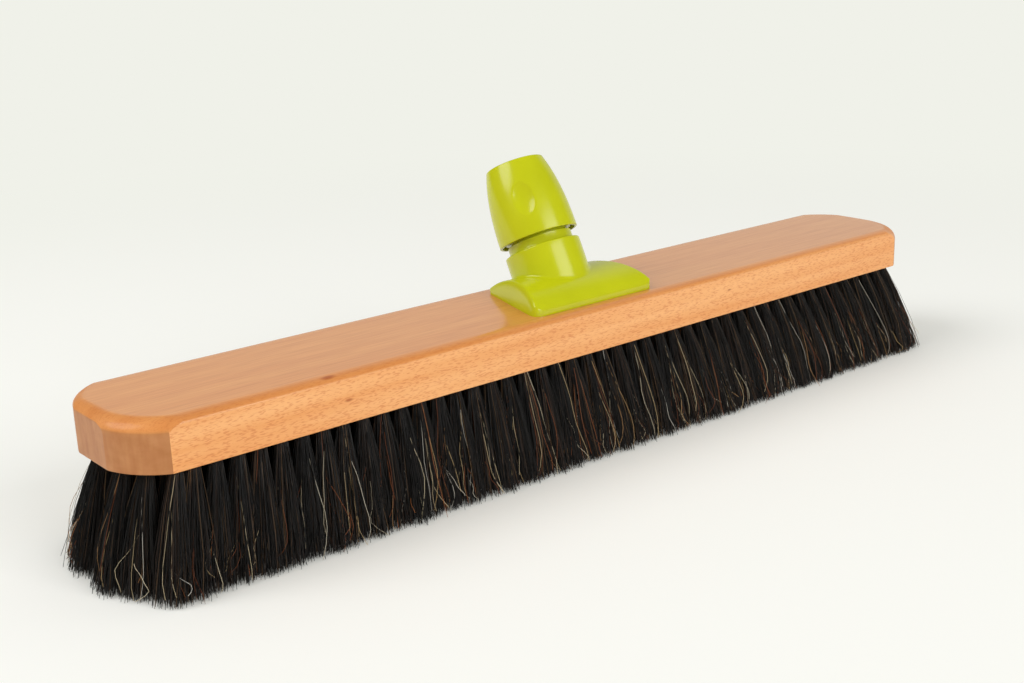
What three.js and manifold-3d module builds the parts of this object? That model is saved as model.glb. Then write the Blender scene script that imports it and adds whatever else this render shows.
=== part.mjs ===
// Indoor broom head: a beech block with horsehair bristles and a leaning screw-clamp socket for a handle.
// Millimetres. +X runs along the block, +Y to the side that the socket leans to, +Z up from the bristle tips.
import * as THREE from "three";
import { mergeGeometries, mergeVertices } from "three/addons/utils/BufferGeometryUtils.js";
import Module from "manifold-3d";

const wasm = await Module();
wasm.setup();

// Clearances
const seatGap = 0.3; // between two pieces that rest on or in each other
const slideGap = 0.3; // radial, between two pieces that move past each other
const wedgeGap = 0.15; // left between the clamping cones when the collar is screwed home
const cutPast = 2; // how far a cutting solid runs past the face that it opens

// Beech block
const blockLength = 500;
const blockWidth = 71;
const blockThickness = 22;
const cornerRun = 17.4; // along the block, from the end face to where a corner starts
const cornerDrop = 22.3; // across the block, from the long side to where a corner ends
const cornerBulge = 3.9; // rise of the corner's arc above the straight line between its ends
const topEdgeInset = 6.5; // rounding of the upper edge all round, inwards
const topEdgeDrop = 3.2; // and down

// Bristles
const bristleLength = 50; // from the block's underside to the tips
const tuftPitch = 10.04; // along a row
const tuftRows = 7;
const tuftRootSize = 5; // where a tuft leaves its hole
const sideMargin = 4; // from the block's long side to the outer row's holes
const endMargin = 6.5; // from the block's end to the last holes
const flareAlong = 12; // how far the end tufts lean out at their tips
const flareAcross = 12; // how far the outer rows lean out at their tips
const tipGap = 1.6; // between neighbouring tufts at their tips
const tipTrim = 0.5; // cut off all tips at once, so that they end in one plane
const sliceThickness = 4; // layer of the block that carries the tufts
const sliceRim = 2; // wall of the block left round that layer
const tuftSeat = 1.5; // depth of a tuft inside its layer

// Handle and its socket, measured along the leaning axis from the block's top
const socketLean = 26.7; // degrees from upright
const footOffset = 1.4; // where the axis meets the block's top, behind its middle line
const handleDiameter = 24;
const handleGap = 0.3; // radial, round the handle
const socketFloor = 10.5;
const stubTop = 23.6; // shoulder under the collar
const neckLength = 14.4; // threaded neck above the shoulder
const stubShoulder = 2.5; // step from the neck out to the stub
const rimRound = 1; // rounded edge of the shoulder
const neckRimWall = 2.2; // neck wall at its open end
const neckChamfer = 0.8;

// Moulded foot plate of the socket
const wingFront = 18.9; // plate beyond the stub's side along the front edge
const wingBack = 3.5; // the same along the back edge
const lipFront = 7.6; // plate in front of the stub
const lipBack = 4.4; // plate behind the stub
const crownHeight = 11.7; // highest line of the plate above the block
const crownForward = 5; // that line lies this far in front of the block's middle
const frontWall = 3.2; // upright part of the front edge
const edgeWall = 1; // upright part of the other edges
const endSteepness = 3.2; // rise over run of the slanted ends
const endBlend = 9; // height over which an end rounds into the crown
const frontFullness = 2.4; // how squarely the crown turns down to the front edge
const frontSharpness = 2; // how upright the front edge starts
const plateCornerRadius = 4.5;
const filletReach = 5; // hollow curve between the plate and the stub
const filletShare = 0.6; // of the plate beside the stub, where that is narrower than the curve

// Locating pegs under the plate
const pegSpacing = 48;
const pegDiameter = 6;
const pegLength = 6;

// Clamp collar
const collarGap = 5.5; // open slit between the shoulder and the collar as it stands
const collarLength = 39.4;
const collarBaseWall = 3.1; // round the threaded bore
const collarMouthWall = 2.15; // round the handle's entrance
const skirtWall = 1.3; // thin skirt below the thread, which leaves a dark slit round the neck
const skirtDepth = 2.4;
const barrelFall = 0.1; // how far the barrel's control point lies inside the base radius
const barrelHeight = 24; // height of that point above the collar's base
const collarEdge = 0.8; // rounded edges of the collar
const mouthEdgeStart = 20; // degrees above level where the barrel runs into its upper edge
const mouthEase = 0.7; // entrance wider than the handle's bore
const lipHeight = 3; // collar lip above the sleeve
const closedGap = 0.5; // slit that is left when the collar is screwed home

// Thumb recesses in the collar
const recessCount = 2;
const recessLength = 19;
const recessWidth = 10.6;
const recessDepth = 1.5;
const recessHeight = 19; // centre above the collar's base
const recessRound = 6; // half thickness of the ellipsoid that hollows a recess
const recessTurn = -132.5; // degrees about the axis, from +X

// Split clamping sleeve inside the collar
const sleeveFootWall = 1.1;
const wedgeSlope = 0.12; // radial growth of the clamping cone per length
const wedgeLength = 10;
const sleeveBand = 2.8; // straight band below the flange
const flangeStep = 1; // flange beyond the band
const flangeHeight = 2.8;
const ridgeHeight = 2; // ridge in the collar that the flange snaps over
const sleeveTopWall = 1.4;
const slotCount = 6;
const slotWidth = 1.6;
const sleeveRing = 8; // solid ring left above the slots

// Wood screws in the socket floor
const screwSpacing = 12.4;
const screwLength = 20;
const screwDiameter = 4;
const screwHeadDiameter = 8;
const screwHeadRim = 0.4;
const screwHeadCone = 2.2;
const screwPoint = 5;
const screwSink = 0.3; // head below the floor
const crossLength = 4.4;
const crossWidth = 1;
const crossDepth = 1.6;

// Fineness of round surfaces
const roundSegments = 40;
const smallRoundSegments = 16;
const edgeSegments = 3;
const cornerSegments = 5;
const curveSegments = 8;
const crownSteps = [0, 0.04, 0.1, 0.2, 0.4, 0.7]; // shares of the way from the rim to the fillet
const searchSteps = 40;
const weldDistance = 1e-4;

// Heights and radii that follow from the sizes above
const blockBottom = bristleLength;
const blockTop = blockBottom + blockThickness;
const lean = THREE.MathUtils.degToRad(socketLean);
const boreRadius = handleDiameter / 2 + handleGap;
const neckTop = stubTop + neckLength;
const collarBase = stubTop + collarGap;
const tightenTravel = collarGap - closedGap;
const sleeveFootRadius = boreRadius + sleeveFootWall;
const bandRadius = sleeveFootRadius + wedgeSlope * wedgeLength;
const flangeRadius = bandRadius + flangeStep;
const threadDepth = neckTop - (collarBase - tightenTravel) + seatGap;
const bandBase = threadDepth + ridgeHeight + seatGap - sleeveBand;
const sleeveBase = bandBase - wedgeLength;
const seatFloor = collarBase + sleeveBase - tightenTravel - seatGap;
const neckMouthRadius = sleeveFootRadius + wedgeGap + wedgeSlope * (neckTop - seatFloor);
const neckRadius = neckMouthRadius + neckRimWall;
const stubRadius = neckRadius + stubShoulder;
const collarBoreRadius = neckRadius + slideGap;
const collarBaseRadius = collarBoreRadius + collarBaseWall;
const skirtRadius = collarBaseRadius - skirtWall;
const mouthRadius = boreRadius + mouthEase;
const collarTopRadius = mouthRadius + collarMouthWall;
const sleeveTop = collarLength - lipHeight - seatGap;

// Turns a closed geometry into a solid that can be joined and cut.
function solid(geometry) {
  const bare = new THREE.BufferGeometry();
  bare.setAttribute("position", geometry.getAttribute("position"));
  bare.setIndex(geometry.getIndex());
  const welded = mergeVertices(bare, weldDistance);
  const corners = welded.index.array;
  const triangles = [];
  for (let i = 0; i < corners.length; i += 3) {
    const [a, b, c] = corners.subarray(i, i + 3);
    if (a !== b && b !== c && c !== a) triangles.push(a, b, c);
  }
  const shell = new wasm.Mesh({
    numProp: 3,
    vertProperties: welded.getAttribute("position").array,
    triVerts: new Uint32Array(triangles),
  });
  return new wasm.Manifold(shell);
}

// Turns a solid back into a named mesh with its own material.
function piece(name, shape, material) {
  const { vertProperties, triVerts } = shape.getMesh();
  const geometry = new THREE.BufferGeometry();
  geometry.setAttribute("position", new THREE.BufferAttribute(vertProperties, 3));
  geometry.setIndex(new THREE.BufferAttribute(triVerts, 1));
  geometry.computeVertexNormals();
  const mesh = new THREE.Mesh(geometry, material);
  mesh.name = name;
  return mesh;
}

// A box between two corners.
function boxBetween(low, high) {
  const size = new THREE.Vector3().subVectors(high, low);
  const middle = new THREE.Vector3().addVectors(low, high).multiplyScalar(0.5);
  return solid(new THREE.BoxGeometry(size.x, size.y, size.z).translate(middle.x, middle.y, middle.z));
}

// A solid turned about Z from [radius, height] pairs that run anticlockwise round the half section.
function turned(profile, segments = roundSegments) {
  const points = profile.map(([radius, height]) => new THREE.Vector2(radius, height));
  return solid(new THREE.LatheGeometry(points, segments).rotateX(Math.PI / 2));
}

// Points of a rounded edge as [radius, height] pairs, from one direction to another.
function edgeArc(radius, height, size, fromDegrees, toDegrees) {
  const points = [];
  for (let i = 0; i <= edgeSegments; i++) {
    const angle = THREE.MathUtils.degToRad(fromDegrees + ((toDegrees - fromDegrees) * i) / edgeSegments);
    points.push([radius + size * Math.cos(angle), height + size * Math.sin(angle)]);
  }
  return points;
}

// The socket's own frame: Z along the leaning axis, zero at the block's top.
const socketFrame = new THREE.Matrix4()
  .makeRotationX(-lean)
  .setPosition(0, footOffset, blockTop);

// Moves a solid from the socket's frame to the broom's frame.
function leaning(shape) {
  return shape.transform(socketFrame.elements);
}

// Circle of the sawn corner in the first quadrant of the block's plan.
function cornerArc(inset) {
  const start = new THREE.Vector2(blockLength / 2 - inset, blockWidth / 2 - inset - cornerDrop);
  const end = new THREE.Vector2(blockLength / 2 - inset - cornerRun, blockWidth / 2 - inset);
  const chord = start.distanceTo(end);
  const radius = (chord * chord) / (8 * cornerBulge) + cornerBulge / 2;
  const outward = new THREE.Vector2(cornerDrop, cornerRun).normalize();
  const middle = start.clone().add(end).multiplyScalar(0.5);
  const centre = middle.addScaledVector(outward, cornerBulge - radius);
  return { start, end, centre, radius };
}

// Plan outline of the block, drawn inside its edge by an inset.
function blockOutline(inset) {
  const { start, end, centre, radius } = cornerArc(inset);
  const startAngle = Math.atan2(start.y - centre.y, start.x - centre.x);
  const endAngle = Math.atan2(end.y - centre.y, end.x - centre.x);
  const outline = new THREE.Shape();
  outline.moveTo(start.x, -start.y);
  outline.lineTo(start.x, start.y);
  outline.absarc(centre.x, centre.y, radius, startAngle, endAngle);
  outline.lineTo(-end.x, end.y);
  outline.absarc(-centre.x, centre.y, radius, Math.PI - endAngle, Math.PI - startAngle);
  outline.lineTo(-start.x, -start.y);
  outline.absarc(-centre.x, -centre.y, radius, Math.PI + startAngle, Math.PI + endAngle);
  outline.lineTo(end.x, -end.y);
  outline.absarc(centre.x, -centre.y, radius, -endAngle, -startAngle);
  return outline;
}

// Half the block's length at a distance from its middle line.
function halfLengthAt(across) {
  const { start, centre, radius } = cornerArc(0);
  if (Math.abs(across) <= start.y) return start.x;
  return centre.x + Math.sqrt(radius ** 2 - (Math.abs(across) - centre.y) ** 2);
}

// A prism of the block's outline between two heights.
function blockPrism(inset, low, high) {
  const outline = new THREE.ExtrudeGeometry(blockOutline(inset), {
    depth: high - low,
    bevelEnabled: false,
    curveSegments: cornerSegments,
  });
  return solid(outline.translate(0, 0, low));
}

// A countersunk screw in the socket's frame, or the hole for one, open above by its head room.
function screwBody(side, growth, headRoom) {
  const top = socketFloor - screwSink;
  const rim = top - screwHeadRim;
  const neck = rim - screwHeadCone;
  const tip = top - screwLength - growth;
  const headRadius = screwHeadDiameter / 2 + growth;
  const shankRadius = screwDiameter / 2 + growth;
  const profile = [[0, tip], [shankRadius, tip + screwPoint], [shankRadius, neck]];
  profile.push([headRadius, rim], [headRadius, top + headRoom], [0, top + headRoom]);
  return turned(profile, smallRoundSegments).translate([(side * screwSpacing) / 2, 0, 0]);
}

// A locating peg or its hole.
function pegBody(side, growth) {
  const radius = pegDiameter / 2 + growth;
  const tip = blockTop - pegLength - growth;
  const top = blockTop + seatGap + cutPast;
  const profile = [[0, tip], [radius, tip], [radius, top], [0, top]];
  return turned(profile, smallRoundSegments).translate([(side * pegSpacing) / 2, 0, 0]);
}

// Beech block: rounded along its upper edge, hollowed below for the tuft layers, drilled for pegs and screws.
function beechBlock(material) {
  const rounded = new THREE.ExtrudeGeometry(blockOutline(0), {
    depth: blockThickness,
    bevelThickness: topEdgeDrop,
    bevelSize: topEdgeInset,
    bevelOffset: -topEdgeInset,
    bevelSegments: edgeSegments,
    curveSegments: cornerSegments,
  });
  rounded.translate(0, 0, blockTop - topEdgeDrop - blockThickness);
  const reach = new THREE.Vector3(blockLength, blockWidth, 0);
  const low = reach.clone().negate().setZ(blockBottom);
  const high = reach.clone().setZ(blockTop + cutPast);
  let shape = solid(rounded).intersect(boxBetween(low, high));
  const pocketTop = blockBottom + sliceThickness + seatGap;
  shape = shape.subtract(blockPrism(sliceRim, blockBottom - cutPast, pocketTop));
  for (const side of [-1, 1]) {
    shape = shape.subtract(pegBody(side, seatGap));
    shape = shape.subtract(leaning(screwBody(side, seatGap, cutPast)));
  }
  return piece("beech_block", shape, material);
}

// One tuft as a four-sided strand that leans and widens from its root to its tip.
function tuftStrand(root, tip, tipSize) {
  const strand = new THREE.BoxGeometry(1, 1, 1);
  const corner = new THREE.Vector3();
  const positions = strand.getAttribute("position");
  for (let i = 0; i < positions.count; i++) {
    corner.fromBufferAttribute(positions, i);
    const end = corner.z > 0 ? root : tip;
    const width = corner.z > 0 ? tuftRootSize : tipSize.x;
    const depth = corner.z > 0 ? tuftRootSize : tipSize.y;
    positions.setXYZ(i, end.x + corner.x * width, end.y + corner.y * depth, end.z);
  }
  return strand;
}

// Bristle rows from one row number to another, standing on their layer of the block.
function bristleRows(name, firstRow, lastRow, material) {
  const halfRoot = tuftRootSize / 2;
  const fieldLength = blockLength / 2 - endMargin - halfRoot;
  const fieldWidth = blockWidth / 2 - sideMargin - halfRoot;
  const columns = Math.round((2 * fieldLength) / tuftPitch);
  const pitch = (2 * fieldLength) / columns;
  const rowPitch = (2 * fieldWidth) / (tuftRows - 1);
  const spreadAlong = 1 + flareAlong / fieldLength;
  const spreadAcross = 1 + flareAcross / fieldWidth;
  const tipSize = new THREE.Vector2(pitch * spreadAlong - tipGap, rowPitch * spreadAcross - tipGap);
  const strands = [];
  for (let row = firstRow; row <= lastRow; row++) {
    const across = row * rowPitch - fieldWidth;
    const shift = (row % 2) / 2;
    for (let column = 0; column + shift <= columns; column++) {
      const along = (column + shift) * pitch - fieldLength;
      const room = halfLengthAt(Math.abs(across) + halfRoot) - endMargin - halfRoot;
      if (Math.abs(along) > room + seatGap) continue;
      const root = new THREE.Vector3(along, across, blockBottom + tuftSeat);
      const tip = new THREE.Vector3(along * spreadAlong, across * spreadAcross, -tipTrim);
      strands.push(tuftStrand(root, tip, tipSize));
    }
  }
  const tufts = solid(mergeGeometries(strands));
  const front = firstRow > 0 ? (firstRow - 0.5) * rowPitch - fieldWidth + seatGap / 2 : -blockWidth;
  const back = lastRow < tuftRows - 1 ? (lastRow + 0.5) * rowPitch - fieldWidth - seatGap / 2 : blockWidth;
  const low = new THREE.Vector3(-blockLength, front, blockBottom - cutPast);
  const high = new THREE.Vector3(blockLength, back, blockTop);
  const layer = blockPrism(sliceRim + seatGap, blockBottom, blockBottom + sliceThickness);
  const floor = new THREE.Vector3(-blockLength, -blockLength, 0);
  const above = new THREE.Vector3(blockLength, blockLength, blockTop);
  const shape = layer.intersect(boxBetween(low, high)).add(tufts).intersect(boxBetween(floor, above));
  return piece(name, shape, material);
}

// Edges of the foot plate's plan, wide along the front and narrow along the back.
function plateEdges() {
  const footReach = stubRadius / Math.cos(lean);
  const front = footOffset - footReach - lipFront;
  const back = footOffset + footReach + lipBack;
  return { front, back, halfFront: stubRadius + wingFront, halfBack: stubRadius + wingBack };
}

// Height of the plate's surface above the block: a crown that is steep in front and flat behind,
// rounded down to its slanted ends.
function plateHeight(x, y) {
  const { front, back, halfFront, halfBack } = plateEdges();
  const ahead = THREE.MathUtils.clamp((-crownForward - y) / (-crownForward - front), 0, 1);
  const behind = THREE.MathUtils.clamp((y + crownForward) / (back + crownForward), 0, 1);
  const frontRise = (1 - ahead ** frontFullness) ** (1 / frontSharpness);
  const frontCrown = frontWall + (crownHeight - frontWall) * frontRise;
  const backCrown = crownHeight - (crownHeight - edgeWall) * behind ** 2;
  const crown = ahead > 0 ? frontCrown : backCrown;
  const taper = (halfFront - halfBack) / (back - front);
  const inside = (halfFront - taper * (y - front) - Math.abs(x)) / Math.hypot(1, taper);
  const end = edgeWall + endSteepness * Math.max(inside, 0);
  const blend = Math.max(endBlend - Math.abs(crown - end), 0) / endBlend;
  return Math.max(Math.min(crown, end) - (blend * blend * endBlend) / 4, edgeWall);
}

// Points round the plate's rim, anticlockwise seen from above.
function plateRim() {
  const { front, back, halfFront, halfBack } = plateEdges();
  const corners = [[halfFront, front], [halfBack, back], [-halfBack, back], [-halfFront, front]];
  const rim = [];
  corners.forEach(([x, y], i) => {
    const corner = new THREE.Vector2(x, y);
    const before = new THREE.Vector2(...corners.at(i - 1));
    const after = new THREE.Vector2(...corners[(i + 1) % corners.length]);
    const arrive = before.clone().sub(corner).setLength(plateCornerRadius).add(corner);
    const leave = after.clone().sub(corner).setLength(plateCornerRadius).add(corner);
    const nextArrive = corner.clone().sub(after).setLength(plateCornerRadius).add(after);
    rim.push(...new THREE.QuadraticBezierCurve(arrive, corner, leave).getPoints(edgeSegments));
    rim.push(...new THREE.LineCurve(leave, nextArrive).getPoints(curveSegments).slice(1, -1));
  });
  return rim;
}

// One line of the moulded skin, from the plate's rim over the crown and up the stub's wall.
function skinLine(rimPoint) {
  const turn = Math.atan2((rimPoint.y - footOffset) * Math.cos(lean), rimPoint.x);
  const wallPoint = (radius, along) =>
    new THREE.Vector3(radius * Math.cos(turn), radius * Math.sin(turn), along).applyMatrix4(socketFrame);
  const clearance = (along) => {
    const at = wallPoint(stubRadius, along);
    return at.z - blockTop - plateHeight(at.x, at.y);
  };
  let low = -stubRadius;
  let high = stubTop;
  for (let i = 0; i < searchSteps; i++) {
    const middle = (low + high) / 2;
    if (clearance(middle) > 0) high = middle;
    else low = middle;
  }
  const crownPoint = (plan) => new THREE.Vector3(plan.x, plan.y, blockTop + plateHeight(plan.x, plan.y));
  const meet = wallPoint(stubRadius, high);
  const meetPlan = new THREE.Vector2(meet.x, meet.y);
  const span = meetPlan.distanceTo(rimPoint);
  const share = Math.min(filletReach / span, filletShare);
  const filletFoot = meetPlan.clone().lerp(rimPoint, share);
  const filletHead = wallPoint(stubRadius, Math.min(high + filletReach, stubTop - 2 * rimRound));
  const line = [new THREE.Vector3(rimPoint.x, rimPoint.y, blockTop + seatGap)];
  for (const step of crownSteps) {
    line.push(crownPoint(rimPoint.clone().lerp(filletFoot, step)));
  }
  const fillet = new THREE.QuadraticBezierCurve3(crownPoint(filletFoot), meet, filletHead);
  line.push(...fillet.getPoints(cornerSegments));
  for (const [radius, along] of edgeArc(stubRadius - rimRound, stubTop - rimRound, rimRound, 0, 90)) {
    line.push(wallPoint(radius, along));
  }
  return line;
}

// Closed skin over the lines, capped flat below and on the stub's shoulder.
function mouldedSkin() {
  const lines = plateRim().map(skinLine);
  const rows = lines[0].length;
  const vertices = lines.flat();
  const under = vertices.push(new THREE.Vector3(0, footOffset, blockTop + seatGap)) - 1;
  const crest = vertices.push(new THREE.Vector3(0, 0, stubTop).applyMatrix4(socketFrame)) - 1;
  const faces = [];
  lines.forEach((line, i) => {
    const here = i * rows;
    const next = ((i + 1) % lines.length) * rows;
    for (let row = 0; row + 1 < rows; row++) {
      faces.push(here + row, next + row, next + row + 1);
      faces.push(here + row, next + row + 1, here + row + 1);
    }
    faces.push(next, here, under);
    faces.push(here + rows - 1, next + rows - 1, crest);
  });
  const skin = new THREE.BufferGeometry().setFromPoints(vertices).setIndex(faces);
  return solid(skin);
}

// Handle holder: moulded plate and stub, threaded neck, handle socket with the sleeve's conical seat.
function handleHolder(material) {
  const chamferFoot = neckTop - neckChamfer;
  const neckBody = [[0, socketFloor], [neckRadius, socketFloor], [neckRadius, chamferFoot]];
  neckBody.push([neckRadius - neckChamfer, neckTop], [0, neckTop]);
  const bore = [[0, socketFloor], [boreRadius, socketFloor], [boreRadius, seatFloor]];
  bore.push([sleeveFootRadius + wedgeGap, seatFloor], [neckMouthRadius, neckTop]);
  bore.push([neckMouthRadius, neckTop + cutPast], [0, neckTop + cutPast]);
  let shape = mouldedSkin().add(leaning(turned(neckBody)));
  for (const side of [-1, 1]) shape = shape.add(pegBody(side, 0));
  shape = shape.subtract(leaning(turned(bore)));
  for (const side of [-1, 1]) shape = shape.subtract(leaning(screwBody(side, seatGap, cutPast)));
  return piece("handle_holder", shape, material);
}

// Outer barrel curve of the collar, from its base to its mouth, as [radius, height] pairs.
function barrelCurve() {
  const base = new THREE.Vector2(collarBaseRadius, collarEdge);
  const control = new THREE.Vector2(collarBaseRadius - barrelFall, barrelHeight);
  const top = new THREE.Vector2(collarTopRadius, collarLength - collarEdge);
  return new THREE.QuadraticBezierCurve(base, control, top);
}

// Clamp collar: barrel-shaped nut with a threaded bore, a snap ridge, a cone round the sleeve and
// thumb recesses.
function clampCollar(material) {
  const barrel = barrelCurve();
  const sides = barrel.getPoints(curveSegments).map(({ x, y }) => [x, y]);
  const ridgeRadius = bandRadius + slideGap;
  const ridgeTop = threadDepth + ridgeHeight;
  const roomRadius = flangeRadius + slideGap;
  const coneFoot = ridgeTop + seatGap + flangeHeight;
  const coneTopRadius = boreRadius + sleeveTopWall + slideGap;
  const lipBase = collarLength - lipHeight;
  const edgeHeight = collarLength - collarEdge;
  const profile = [[skirtRadius, 0], [collarBaseRadius - collarEdge, 0], ...sides];
  profile.push(...edgeArc(collarTopRadius - collarEdge, edgeHeight, collarEdge, mouthEdgeStart, 90));
  profile.push([mouthRadius + collarEdge, collarLength], [mouthRadius, edgeHeight]);
  profile.push([mouthRadius, lipBase], [coneTopRadius, lipBase], [roomRadius, coneFoot]);
  profile.push([roomRadius, ridgeTop], [ridgeRadius, ridgeTop], [ridgeRadius, threadDepth]);
  profile.push([collarBoreRadius, threadDepth]);
  profile.push([collarBoreRadius, skirtDepth + collarEdge], [skirtRadius, skirtDepth], [skirtRadius, 0]);
  let shape = turned(profile);
  const share = (recessHeight - collarEdge) / (collarLength - 2 * collarEdge);
  const skin = barrel.getPointAt(share);
  const slope = barrel.getTangentAt(share);
  const stand = recessRound - recessDepth;
  const halfWidth = recessWidth / 2;
  const drop = skin.x - Math.sqrt(skin.x ** 2 - halfWidth ** 2);
  const acrossRadius = halfWidth / Math.sqrt(1 - ((stand + drop) / recessRound) ** 2);
  const alongRadius = recessLength / 2 / Math.sqrt(1 - (stand / recessRound) ** 2);
  for (let i = 0; i < recessCount; i++) {
    const scoop = new THREE.SphereGeometry(1, smallRoundSegments, smallRoundSegments);
    scoop.scale(recessRound, acrossRadius, alongRadius);
    scoop.rotateY(Math.atan2(slope.x, slope.y));
    scoop.translate(skin.x + stand, 0, skin.y);
    scoop.rotateZ(THREE.MathUtils.degToRad(recessTurn + (360 * i) / recessCount));
    shape = shape.subtract(solid(scoop));
  }
  const collar = piece("clamp_collar", shape, material);
  collar.position.z = collarBase;
  return collar;
}

// Clamping sleeve: cone-footed ring of fingers that the collar presses into the neck, slotted from below.
function clampSleeve(material) {
  const bandTop = bandBase + sleeveBand;
  const flangeTop = bandTop + flangeHeight - seatGap;
  const profile = [[boreRadius, sleeveBase], [sleeveFootRadius, sleeveBase], [bandRadius, bandBase]];
  profile.push([bandRadius, bandTop], [flangeRadius, bandTop], [flangeRadius, flangeTop]);
  profile.push([boreRadius + sleeveTopWall, sleeveTop], [boreRadius, sleeveTop], [boreRadius, sleeveBase]);
  let shape = turned(profile);
  const slotReach = flangeRadius + cutPast;
  const slotStart = sleeveBase - cutPast;
  const slotEnd = sleeveTop - sleeveRing;
  for (let i = 0; i < slotCount; i++) {
    const slot = new THREE.BoxGeometry(slotReach, slotWidth, slotEnd - slotStart);
    slot.translate(slotReach / 2, 0, (slotEnd + slotStart) / 2);
    slot.rotateZ((2 * Math.PI * (i + 0.5)) / slotCount);
    shape = shape.subtract(solid(slot));
  }
  const sleeve = piece("clamp_sleeve", shape, material);
  sleeve.position.z = collarBase;
  return sleeve;
}

// Countersunk wood screw with a cross recess.
function holderScrew(name, side, material) {
  let shape = screwBody(side, 0, 0);
  const top = socketFloor - screwSink;
  for (const [length, width] of [[crossLength, crossWidth], [crossWidth, crossLength]]) {
    const arm = new THREE.BoxGeometry(length, width, crossDepth + cutPast);
    arm.translate((side * screwSpacing) / 2, 0, top + (cutPast - crossDepth) / 2);
    shape = shape.subtract(solid(arm));
  }
  return piece(name, shape, material);
}

const beech = () => new THREE.MeshStandardMaterial({ color: 0xe2a873, roughness: 0.35, metalness: 0 });
const lime = () => new THREE.MeshStandardMaterial({ color: 0xbcc418, roughness: 0.35, metalness: 0 });
const horsehair = () => new THREE.MeshStandardMaterial({ color: 0x17140f, roughness: 0.6, metalness: 0 });
const steel = () => new THREE.MeshStandardMaterial({ color: 0xb8bac0, roughness: 0.35, metalness: 1 });

const socket = new THREE.Group();
socket.applyMatrix4(socketFrame);
socket.add(
  clampSleeve(lime()),
  clampCollar(lime()),
  holderScrew("holder_screw_left", -1, steel()),
  holderScrew("holder_screw_right", 1, steel()),
);

const broomHead = new THREE.Group();
broomHead.add(
  beechBlock(beech()),
  bristleRows("bristles_front", 0, 1, horsehair()),
  bristleRows("bristles_middle", 2, tuftRows - 3, horsehair()),
  bristleRows("bristles_back", tuftRows - 2, tuftRows - 1, horsehair()),
  handleHolder(lime()),
  socket,
);

export default broomHead;
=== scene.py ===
import math
from functools import partial

import bmesh
import bpy
import numpy as np
from mathutils import Matrix, Vector


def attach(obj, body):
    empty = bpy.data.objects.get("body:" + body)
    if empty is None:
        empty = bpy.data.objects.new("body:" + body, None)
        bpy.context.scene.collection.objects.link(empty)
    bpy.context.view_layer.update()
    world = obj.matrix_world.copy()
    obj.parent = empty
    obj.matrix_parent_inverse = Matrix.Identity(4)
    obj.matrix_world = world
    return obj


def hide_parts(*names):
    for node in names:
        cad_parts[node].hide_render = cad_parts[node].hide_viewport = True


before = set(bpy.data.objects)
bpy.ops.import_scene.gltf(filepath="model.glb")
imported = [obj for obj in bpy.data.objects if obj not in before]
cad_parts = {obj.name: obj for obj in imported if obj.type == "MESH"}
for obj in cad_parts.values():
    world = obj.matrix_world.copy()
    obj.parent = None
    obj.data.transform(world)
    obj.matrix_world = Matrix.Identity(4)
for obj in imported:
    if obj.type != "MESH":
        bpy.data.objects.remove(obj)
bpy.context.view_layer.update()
scene = bpy.context.scene
scene.view_settings.view_transform = "Standard"
mm = 0.001
fullTurn = 2 * math.pi
mathNode, vectorNode, mixNode = "ShaderNodeMath", "ShaderNodeVectorMath", "ShaderNodeMix"
print("frame loaded:", len(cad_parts), "nodes")


# Small helpers

def linear(hexColour):  # sRGB hex to linear RGBA
    channels = [int(hexColour[i:i + 2], 16) / 255 for i in (1, 3, 5)]
    return [c / 12.92 if c <= 0.04045 else ((c + 0.055) / 1.055) ** 2.4 for c in channels] + [1.0]


def clamp(value):
    return min(max(value, 0.0), 1.0)


def easeStep(low, high, value):
    t = clamp((value - low) / (high - low))
    return t * t * (3 - 2 * t)


def bend(a, b, c, t):  # point of a curve from a to c that leans towards b
    return a * (1 - t) ** 2 + b * 2 * t * (1 - t) + c * t ** 2


def arc(x, y, radius, first, last, steps):  # points of a rounded edge, from one angle to another in degrees
    turns = np.radians(np.linspace(first, last, steps + 1))
    return [(x + radius * math.cos(a), y + radius * math.sin(a)) for a in turns]


def onRing(radius, turn, height):
    return Vector((radius * math.cos(turn), radius * math.sin(turn), height))


def addNode(tree, kind, inputs=(), **settings):  # inputs by name or in order: values, sockets or whole nodes
    node = tree.nodes.new(kind)
    for key, value in settings.items():
        setattr(node, key, value)
    for key, value in inputs.items() if isinstance(inputs, dict) else enumerate(inputs):
        if isinstance(value, bpy.types.Node):
            value = next(socket for socket in value.outputs if socket.enabled)
        if isinstance(value, bpy.types.NodeSocket):
            tree.links.new(value, node.inputs[key])
        else:
            node.inputs[key].default_value = value
    return node


def newMaterial(name):  # with what adds a node to its empty tree
    material = bpy.data.materials.new(name)
    material.use_nodes = True
    material.node_tree.nodes.clear()
    return material, partial(addNode, material.node_tree)


def finishMaterial(add, inputs):  # shader and output
    add("ShaderNodeOutputMaterial", {"Surface": add("ShaderNodeBsdfPrincipled", inputs)})


def setStops(ramp, *stops):  # colour ramp from (position, hex colour) pairs
    elements = ramp.color_ramp.elements
    while len(elements) < len(stops):
        elements.new(0.5)
    for element, (position, hexColour) in zip(elements, stops):
        element.position = position
        element.color = linear(hexColour)
    return ramp


def grain(add, lengths, detail, *stops, roughness=0.5):  # coloured noise, drawn out by lengths in mm
    place = add("ShaderNodeTexCoord").outputs["Object"]
    scale = [1 / (length * mm) for length in lengths]
    stretch = add("ShaderNodeMapping", {"Vector": place, "Scale": scale})
    noise = add("ShaderNodeTexNoise", {"Vector": stretch, "Scale": 1.0, "Detail": detail,
                                       "Roughness": roughness})
    return setStops(add("ShaderNodeValToRGB", {"Fac": noise}), *stops)


def addObject(name, data):
    item = bpy.data.objects.new(name, data)
    scene.collection.objects.link(item)
    return item


def meshObject(name, points, faces):  # points in millimetres
    mesh = bpy.data.meshes.new(name)
    mesh.from_pydata((np.asarray(points, float) * mm).tolist(), [], faces)
    return addObject(name, mesh)


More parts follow.
